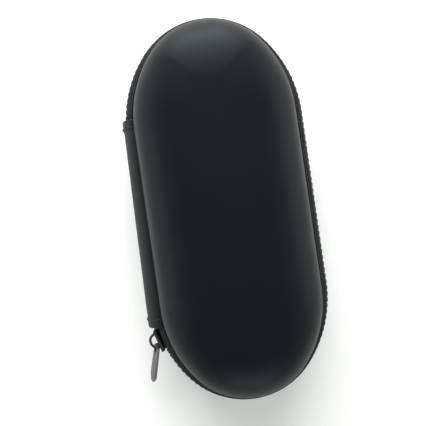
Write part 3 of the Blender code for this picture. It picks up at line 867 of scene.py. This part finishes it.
class CASE_OT_bindings(bpy.types.Operator):
    """Make the binding tape over the seam inside both shells"""

    bl_idname = "carry_case.bindings"
    bl_label = "Seam bindings"

    def execute(self, context):
        places = round_places(sizes().stations // 2)
        for side in ("lid", "base"):
            low, high = (corner.z - ZIP_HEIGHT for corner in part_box(side + "_binding"))
            rises = [low + (high - low) * i / 4 for i in range(5)]
            rows = [[on_band(s, -BINDING_INSET, rise) for s in places[:-1]] for rise in rises]
            tape = loft(side + "_seam_tape", rows, places, closed=True)
            tape = thicken(tape, 0.0, BINDING, BINDING_EASE)
            finish(tape, "binding", side, "binding", side + "_binding")
        return {"FINISHED"}


def coil_turn(up):
    """One turn of a coil: its top leg, its head past the middle, and back along its lower leg."""
    s = sizes()
    radius = s.coil_wire / 2
    top, low = radius, COIL_DEPTH - radius
    middle = (top + low) / 2
    half = s.coil_pitch / 2
    route = [
        (-half, middle, COIL_BACK), (-0.6 * half, top + COIL_DIP, COIL_BEND),
        (-0.25 * half, top, COIL_LEG), (0.0, top, COIL_NECK), (0.05 * half, middle, COIL_HEAD),
        (0.1 * half, low, COIL_NECK), (0.35 * half, low, COIL_LEG),
        (0.6 * half, low - COIL_DIP, COIL_BEND), (half, middle, COIL_BACK),
    ]
    return tube("coil_turn", [Vector((x, y, up * z)) for x, y, z in route], radius)


class CASE_OT_coils(bpy.types.Operator):
    """Make the wound coils of the zip and the thread that sews them to the bands"""

    bl_idname = "carry_case.coils"
    bl_label = "Zip coils"

    def execute(self, context):
        pitch = sizes().coil_pitch
        stitch = stitch_piece()
        for side, up, shift in (("lid", 1, 0.0), ("base", -1, 0.5)):
            turn = coil_turn(up)
            first = ZIP_START + pitch * (1 + shift)
            places = evenly(first, ZIP_END - pitch, pitch / 2)
            middle = [on_band(s, 0, 0) for s in places]
            coil = repeat_along(side + "_coil", middle, turn, pitch, "coil")
            finish(coil, "coil", side, "zip_coil", side + "_zip_coil")
            bpy.data.objects.remove(turn)
            over = [on_band(s, -THREAD_OFFSET, up * COIL_SEAM) for s in places]
            sewn = repeat_along(side + "_coil_thread", over, stitch, 2 * pitch, "thread")
            finish(sewn, "thread", side, "zip_coil")
        bpy.data.objects.remove(stitch)
        return {"FINISHED"}


def fold_turns(steps, first=-QUARTER):
    """Turns round the hinge strip's section, from its lower edge to its upper edge."""
    return [first * (1 - 2 * i / steps) for i in range(steps + 1)]


def on_strip(distance, turn, lift=0.0):
    """A point on the hinge strip's swelling outer face, which is fuller towards the slider."""
    share = (distance + SPINE_FAR_END) / (SPINE_END + SPINE_FAR_END)
    swell = SEAM_INSET + SPINE_SWELL + SLIM_END + (FULL_END - SLIM_END) * share + lift
    out = -SEAM_INSET + swell * math.cos(turn)
    return on_band(distance, out, (FLANGE_RISE + lift / 2) * math.sin(turn))


def on_end_tab(distance, inner, outer, turn):
    """A point on a folded end tab, which lifts off the strip and turns in at its outer end."""
    share = (distance - inner) / (outer - inner)
    tuck = max(0.0, share - TUCK_START) / (1 - TUCK_START)
    lift = END_TAB_SKIN + TAB_FLARE * share ** 2 - TUCK_DEPTH * tuck ** 2
    return on_strip(distance, turn, lift)


def strip_end(name, inner, outer, node, stitch):
    """A folded tab over one end of the hinge strip, and the stitches across it."""
    places = evenly(min(inner, outer), max(inner, outer), 0.25 * MM)
    turns = fold_turns(20, END_TAB_TURN)
    rows = [[on_end_tab(s, inner, outer, turn) for s in places] for turn in turns]
    tab = thicken(loft(name, rows, places), 0.0, END_TAB_SKIN, END_TAB_EASE)
    finish(tab, "strip", FOLD, "hinge_strip", node)
    seam = inner + (outer - inner) * SEAM_SHARE
    turns = fold_turns(40, END_TAB_TURN * SEAM_SPAN)
    points = [on_strip(seam, turn, END_TAB_SKIN) for turn in turns]
    spacing = sizes().stitch_length * SEAM_SPACING
    sewn = repeat_along(name + "_thread", points, stitch, spacing, "thread", upright=False)
    finish(sewn, "thread", FOLD, "hinge_strip")


class CASE_OT_hinge(bpy.types.Operator):
    """Make the hinge strip, its inner cover and the folded tabs over its ends"""

    bl_idname = "carry_case.hinge"
    bl_label = "Hinge strip"

    def execute(self, context):
        places = evenly(-SPINE_FAR_END, SPINE_END, 1.5 * MM)
        length = SPINE_END + SPINE_FAR_END
        flange = -SEAM_INSET - TAPE_FLANGE
        rows = [[on_strip(s, turn) for s in places] for turn in fold_turns(18)]
        rows.insert(0, [on_band(s, flange, -FLANGE_RISE) for s in places])
        rows.append([on_band(s, flange, FLANGE_RISE) for s in places])
        strip = thicken(loft("hinge_fold", rows, places), 0.0, SPINE / 2, SPINE_EASE)
        finish(strip, "strip", FOLD, "hinge_strip", "hinge_spine")
        declare_cloth(strip, (run([r[-1] for r in rows]), length))
        rows = [[on_strip(s, turn) for s in places] for turn in fold_turns(10, COVER_TURN)]
        cover = thicken(loft("hinge_cover", rows, places), SPINE + GAP, LINING)
        finish(cover, "lining", FOLD, "lining", "hinge_lining")
        declare_cloth(cover, (run([r[-1] for r in rows]), length))
        near, far = SPINE_END, -SPINE_FAR_END
        stitch = stitch_piece()
        strip_end("strip_end_slider", near - END_TAB, near, "hinge_tab_slider_end", stitch)
        strip_end("strip_end_far", far + END_TAB, far, "hinge_tab_far_end", stitch)
        bpy.data.objects.remove(stitch)
        return {"FINISHED"}


class CASE_OT_stitches(bpy.types.Operator):
    """Make the rows of stitches that hold the zip bands to the shells"""

    bl_idname = "carry_case.stitches"
    bl_label = "Stitches"

    def execute(self, context):
        stitch = stitch_piece()
        spacing = sizes().stitch_length
        places = evenly(ZIP_START, ZIP_END, spacing / 2)
        out, rise = tape_profile()[-4]
        for side, up in SIDES:
            points = [on_band(s, out + THREAD_OFFSET, up * rise) for s in places]
            row = repeat_along(side + "_band_stitches", points, stitch, spacing, "thread")
            finish(row, "thread", side, "zip_tape")
        bpy.data.objects.remove(stitch)
        return {"FINISHED"}


def slider_frame():
    """The slider's own axes: X back along the zip towards the hinge strip, Y outwards, Z up."""
    turn = math.atan2(LEG_WAY.y, LEG_WAY.x) - (QUARTER - LEG_LEAN)
    return Matrix.Translation(SLIDE_AXIS) @ Matrix.Rotation(turn, 4, "Z")


def prism(name, outline, low, high):
    """A plate with an outline of (x, z) points, standing between two heights along Y."""
    bm = bmesh.new()
    face = bm.faces.new([bm.verts.new((x, low, z)) for x, z in outline])
    grown = bmesh.ops.extrude_face_region(bm, geom=[face])
    moved = [v for v in grown["geom"] if isinstance(v, bmesh.types.BMVert)]
    bmesh.ops.translate(bm, verts=moved, vec=(0, high - low, 0))
    bmesh.ops.recalc_face_normals(bm, faces=bm.faces)
    mesh = bpy.data.meshes.new(name)
    bm.to_mesh(mesh)
    bm.free()
    return new_object(name, mesh)


def in_order(obj):
    """Puts points and faces in a fixed order, which a union doesn't keep from one run to the next."""
    mesh = obj.data
    points = sorted(mesh.vertices, key=lambda point: [round(c, 7) for c in point.co])
    rank = {point.index: i for i, point in enumerate(points)}
    faces = []
    for face in mesh.polygons:
        ring = [rank[i] for i in face.vertices]
        first = ring.index(min(ring))
        faces.append(ring[first:] + ring[:first])
    obj.data = bpy.data.meshes.new(obj.name)
    obj.data.from_pydata([point.co for point in points], [], sorted(faces))
    return obj


def united(body, *others):
    """One closed body made of several that overlap."""
    for other in others:
        union = body.modifiers.new("union", "BOOLEAN")
        union.operation = "UNION"
        union.object = other
        body = bake(body)
        bpy.data.objects.remove(other)
    return in_order(weld(body, flatten=True))


def rectangle(left, right, low, high):
    return [(left, low), (right, low), (right, high), (left, high)]


def place_in(obj, matrix):
    obj.data.transform(matrix)
    return obj


def slider_body():
    """Outer plate with a folded lip, neck between the tapes, and keeper behind the base's tape."""
    half, wide, tail = SLIDER_LENGTH / 2, SLIDER_WIDTH / 2, SLIDER_TAIL / 2
    low = SIDE_RADIUS + SLIDER_LIFT
    inside_plate = low + SLIDER_PLATE / 2
    shoulder = half - NECK_LENGTH
    inner = SIDE_RADIUS - TAPE_CREST - TAPE_BULGE - TAPE - KEEPER_PLAY
    edge = -(CHAIN_HALF + SLIDER_LIFT)
    neck = NECK_WIDTH / 2
    inset = 0.5 * MM
    side = [
        (-half, tail), (-half * 0.3, tail + 0.15 * MM), (shoulder * 0.6, wide - 0.1 * MM),
        (shoulder, wide), (half - 0.7 * MM, wide - 0.35 * MM), (half, tail)]
    plate = side + [(x, -z) for x, z in reversed(side)]
    ends = (inset - half, half - inset)
    post = (half - inset - NECK_LENGTH, half - 2 * inset)
    shell = united(
        prism("slider_shell", plate, low, low + SLIDER_PLATE),
        prism("lip", rectangle(*ends, edge - SLIDER_LIP, edge), low - SLIDER_LIP, inside_plate),
        prism("neck", rectangle(*post, -neck, neck), inner - SLIDER_KEEPER / 2, inside_plate),
        prism("keeper", rectangle(*ends, edge - SLIDER_LIP, neck), inner - SLIDER_KEEPER, inner))
    return place_in(eased(shell, SLIDER_EASE, 3), slider_frame())


def leg_point(rise, side):
    """A point on a leg of the bridge, at a height above the coils."""
    along = BRIDGE_SPAN / 2 + (LEG_TOP - rise) * math.tan(LEG_LEAN)
    return Vector((side * along, SIDE_RADIUS + rise, 0))


def bridge_points():
    """The bridge's middle line: a leaning leg, a rounded corner, the crown, and the same again."""
    corner, before = leg_point(BRIDGE_RISE, 1), leg_point(LEG_BEND, 1)
    after = corner - Vector((BRIDGE_CORNER, 0, 0))
    half = [leg_point(SLIDER_LIFT + SLIDER_PLATE * 0.6, 1)]
    for i in range(13):
        t = i / 12
        half.append(before * (1 - t) ** 2 + corner * 2 * t * (1 - t) + after * t ** 2)
    return half + [Vector((-p.x, p.y, p.z)) for p in reversed(half)]


class CASE_OT_slider(bpy.types.Operator):
    """Make the slider's enamelled body and its wire bridge"""

    bl_idname = "carry_case.slider"
    bl_label = "Slider"

    def execute(self, context):
        finish(slider_body(), "enamel", "slider", "slider_metal", "slider_body")
        wire = tube("slider_wire", bridge_points(), sizes().bridge_wire / 2, 3)
        place_in(wire, slider_frame())
        finish(wire, "enamel", "slider", "slider_metal", "slider_bridge")
        return {"FINISHED"}


def tab_outline():
    """The pull tab from above: a round head, a slow flare and a chamfered tip."""
    s = sizes()
    head = EYE_HOLE / 2 + EYE_RIM
    end = s.tab_length - head
    around = [math.pi - QUARTER * i / 12 for i in range(1, 13)]
    side = [(EYE_SLOT, head), (end - TAB_CHAMFER, s.tab_width / 2), (end, TAB_TIP / 2)]
    top = [(head * math.cos(a), head * math.sin(a)) for a in around] + side
    return [(-head, 0.0), *top, *[(x, -y) for x, y in reversed(top)]]


def eye_outline():
    """The tab's eye: a slot that is round at both ends."""
    radius = EYE_HOLE / 2
    turns = [QUARTER + math.pi * i / 12 for i in range(13)]
    near = [(radius * math.cos(a), radius * math.sin(a)) for a in turns]
    return near + [(EYE_SLOT - x, -y) for x, y in near]


def tab_frame():
    """The pull tab's axes: its origin on the bridge's leg, X along the tab, Z through the eye."""
    away = Vector((-LEG_WAY.y, LEG_WAY.x, 0))
    hanging = away * math.cos(TAB_DROOP) - UP * math.sin(TAB_DROOP)
    across = away * math.sin(TAB_DROOP) + UP * math.cos(TAB_DROOP)
    length = hanging * math.cos(TAB_YAW) + LEG_WAY * math.sin(TAB_YAW)
    level = LEG_WAY * math.cos(TAB_YAW) - hanging * math.sin(TAB_YAW)
    face = level * math.cos(TAB_TWIST) + across * math.sin(TAB_TWIST)
    turn = Matrix((length, face.cross(length), face)).transposed().to_4x4()
    return Matrix.Translation(EYE) @ turn


class CASE_OT_pull_tab(bpy.types.Operator):
    """Make the flat pull tab with its slot"""

    bl_idname = "carry_case.pull_tab"
    bl_label = "Pull tab"

    def execute(self, context):
        curve = bpy.data.curves.new("tab_plate", "CURVE")
        curve.dimensions = "2D"
        curve.fill_mode = "BOTH"
        curve.extrude = TAB_THICKNESS / 2
        for outline in (tab_outline(), eye_outline()):
            add_line(curve, [(x, y, 0.0) for x, y in outline], closed=True)
        plate = weld(bake(new_object("tab_plate", curve)), flatten=True)
        plate = place_in(eased(plate, TAB_EASE, 2), tab_frame())
        finish(plate, "nickel", "pull", "pull_metal", "pull_tab")
        return {"FINISHED"}


def net_edges(inset, height):
    """Diamonds over the hinge half of the lid, fitted to the binding, with a slight sag."""
    cell = sizes().net_cell
    reach = half_length_at(NET_FRONT, inset)
    columns = 2 * round(reach * 2 / cell)
    rows = 2 * round((HALF_WIDTH - inset + NET_FRONT) / cell)
    index, points, edges = {}, [], []
    for i in range(columns + 1):
        x = reach * (2 * i / columns - 1)
        back = half_width_at(x, inset)
        for j in range(rows + 1):
            if (i + j) % 2 == 0:
                index[i, j] = len(points)
                sag = NET_SAG * math.sin(math.pi * i / columns) * math.sin(math.pi * j / rows)
                points.append((x, (back + NET_FRONT) * j / rows - NET_FRONT, height - sag))
    for i, j in index:
        for other in ((i + 1, j + 1), (i + 1, j - 1)):
            if other in index:
                edges.append((index[i, j], index[other]))
        if j in (0, rows) and (i + 2, j) in index:
            edges.append((index[i, j], index[i + 2, j]))
    mesh = bpy.data.meshes.new("pocket_mesh")
    mesh.from_pydata(points, edges, [])
    return new_object("pocket_mesh", mesh)


class CASE_OT_pocket(bpy.types.Operator):
    """Make the net in the lid and its elastic edge"""

    bl_idname = "carry_case.pocket"
    bl_label = "Net pocket"

    def execute(self, context):
        strand = sizes().net_strand / 2
        low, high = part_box("pocket_net")
        inset = BINDING_INSET + BINDING + 2 * GAP + strand
        net = grow(
            net_edges(inset, (low.z + high.z) / 2), net_tree(),
            Strand=strand, Knot=strand * KNOT_SHARE, Finish=finish_of("net"))
        finish(net, "net", "lid", "net", "pocket_net")
        low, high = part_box("pocket_elastic")
        places = evenly(low.x, high.x, 0.4 * MM)
        middle = (low.z + high.z) / 2
        tops = [middle + ELASTIC / 2 + ELASTIC_RIPPLE * math.sin(x / RIPPLE_RUN) for x in places]
        rows = []
        for i in range(5):
            y = high.y + (low.y - high.y) * i / 4
            rows.append([Vector((x, y, z)) for x, z in zip(places, tops)])
        edge = thicken(loft("pocket_edge", rows[::-1], places), 0.0, ELASTIC, ELASTIC_EASE)
        finish(edge, "elastic", "lid", "elastic", "pocket_elastic")
        return {"FINISHED"}


# Stage

CAMERA_PLACE = Vector((-0.77, 9.35, 303.2)) * MM
CAMERA_TURN = tuple(math.radians(a) for a in (0.06, -0.66, -98.25))
CAMERA_LENS = 54.93
SENSOR = 36.0
FLOOR_HALF = 2.0
FLOOR_DROP = 0.2 * MM
FLOOR_BOUNCE = (0.6, 0.68, 0.82, 1.0)
FLOOR_GLOW = (1.0, 1.0, 0.97, 1.0)
GLOW_STRENGTH = 0.08
SKY = (0.86, 0.95, 1.0, 1.0)
SKY_STRENGTH = 0.37
LAMP_COLOUR = (0.9, 0.95, 1.0)
LAMP_TARGET = Vector((0, 0, 30 * MM))
# Name, place, width, height and power
LAMPS = (
    ("head_lamp", (0.8, 0.0, 0.27), 0.9, 0.42, 13.0),
    ("high_lamp", (0.56, 0.0, 0.66), 0.7, 0.4, 4.6),
    ("left_lamp", (0.1, 0.8, 0.17), 0.8, 0.22, 2.0),
    ("right_lamp", (0.1, -0.8, 0.17), 0.8, 0.22, 2.4),
    ("foot_lamp", (-0.8, 0.0, 0.27), 0.7, 0.28, 2.4))


def soft_box(name, place, width, height, energy):
    """A rectangular lamp that faces the case."""
    light = bpy.data.lights.new(name, "AREA")
    light.shape = "RECTANGLE"
    light.size, light.size_y = width, height
    light.energy = energy
    light.color = LAMP_COLOUR
    obj = new_object(name, light)
    obj.location = place
    obj.rotation_euler = (LAMP_TARGET - Vector(place)).to_track_quat("-Z", "Y").to_euler()


def floor_material():
    """Pale to the eye and in reflections, and darker for the light that it gives back to the case."""
    material, tree, shader = start_material("pale_floor", 0.75, specular=0.2)
    noise = add(tree, "ShaderNodeTexNoise", {"Vector": object_place(tree), "Scale": 3.0, "Detail": 2.0})
    colour = colours().floor
    pale = mix(tree, noise.outputs[0], shade(colour, 0.97), shade(colour, 1.03))
    rays = add(tree, "ShaderNodeLightPath").outputs
    seen = math_node(tree, "MAXIMUM", rays["Is Camera Ray"], math_node(
        tree, "MAXIMUM", rays["Is Glossy Ray"], rays["Is Transmission Ray"]))
    unseen = math_node(tree, "SUBTRACT", 1.0, seen)
    tree.links.new(mix(tree, unseen, pale, FLOOR_BOUNCE, "MULTIPLY"), shader["Base Color"])
    shader["Emission Color"].default_value = FLOOR_GLOW
    tree.links.new(math_node(tree, "MULTIPLY", seen, GLOW_STRENGTH), shader["Emission Strength"])
    return material


class CASE_OT_stage(bpy.types.Operator):
    """Make the floor, the soft lamps and the camera"""

    bl_idname = "carry_case.stage"
    bl_label = "Stage"

    def execute(self, context):
        scene = context.scene
        half = FLOOR_HALF
        corners = [(-half, -half, 0), (half, -half, 0), (half, half, 0), (-half, half, 0)]
        mesh = bpy.data.meshes.new("floor")
        mesh.from_pydata(corners, [], [(0, 1, 2, 3)])
        mesh.materials.append(floor_material())
        floor = new_object("floor", mesh)
        floor.location.z = -FLOOR_DROP
        for lamp in LAMPS:
            soft_box(*lamp)
        world = bpy.data.worlds.new("studio")
        world.use_nodes = True
        sky = world.node_tree.nodes["Background"].inputs
        sky["Color"].default_value = SKY
        sky["Strength"].default_value = SKY_STRENGTH
        scene.world = world
        camera = bpy.data.cameras.new("camera")
        camera.lens = CAMERA_LENS
        camera.sensor_width = SENSOR
        camera.clip_start = 0.01
        obj = new_object("camera", camera)
        obj.location = CAMERA_PLACE
        obj.rotation_euler = CAMERA_TURN
        scene.camera = obj
        scene.view_settings.view_transform = "Standard"
        return {"FINISHED"}


STEPS = (
    CASE_OT_shells, CASE_OT_padding, CASE_OT_bands, CASE_OT_bindings, CASE_OT_coils, CASE_OT_hinge,
    CASE_OT_stitches, CASE_OT_slider, CASE_OT_pull_tab, CASE_OT_pocket, CASE_OT_stage)


class CASE_PT_panel(bpy.types.Panel):
    """Lists the pieces of the carry case"""

    bl_idname = "CASE_PT_panel"
    bl_label = "Carry Case"
    bl_space_type = "VIEW_3D"
    bl_region_type = "UI"
    bl_category = "Carry Case"

    def draw(self, context):
        for step in STEPS:
            self.layout.operator(step.bl_idname)
        for properties in (context.scene.case_sizes, context.scene.case_colours):
            for key in properties.__annotations__:
                self.layout.prop(properties, key)


CLASSES = (CaseSizes, CaseColours, *STEPS, CASE_PT_panel)


def register():
    for cls in CLASSES:
        bpy.utils.register_class(cls)
    bpy.types.Scene.case_sizes = PointerProperty(type=CaseSizes)
    bpy.types.Scene.case_colours = PointerProperty(type=CaseColours)


def unregister():
    del bpy.types.Scene.case_colours
    del bpy.types.Scene.case_sizes
    for cls in reversed(CLASSES):
        bpy.utils.unregister_class(cls)


def main():
    register()
    for step in STEPS:
        area, name = step.bl_idname.split(".")
        getattr(getattr(bpy.ops, area), name)()


if __name__ == "__main__":
    main()
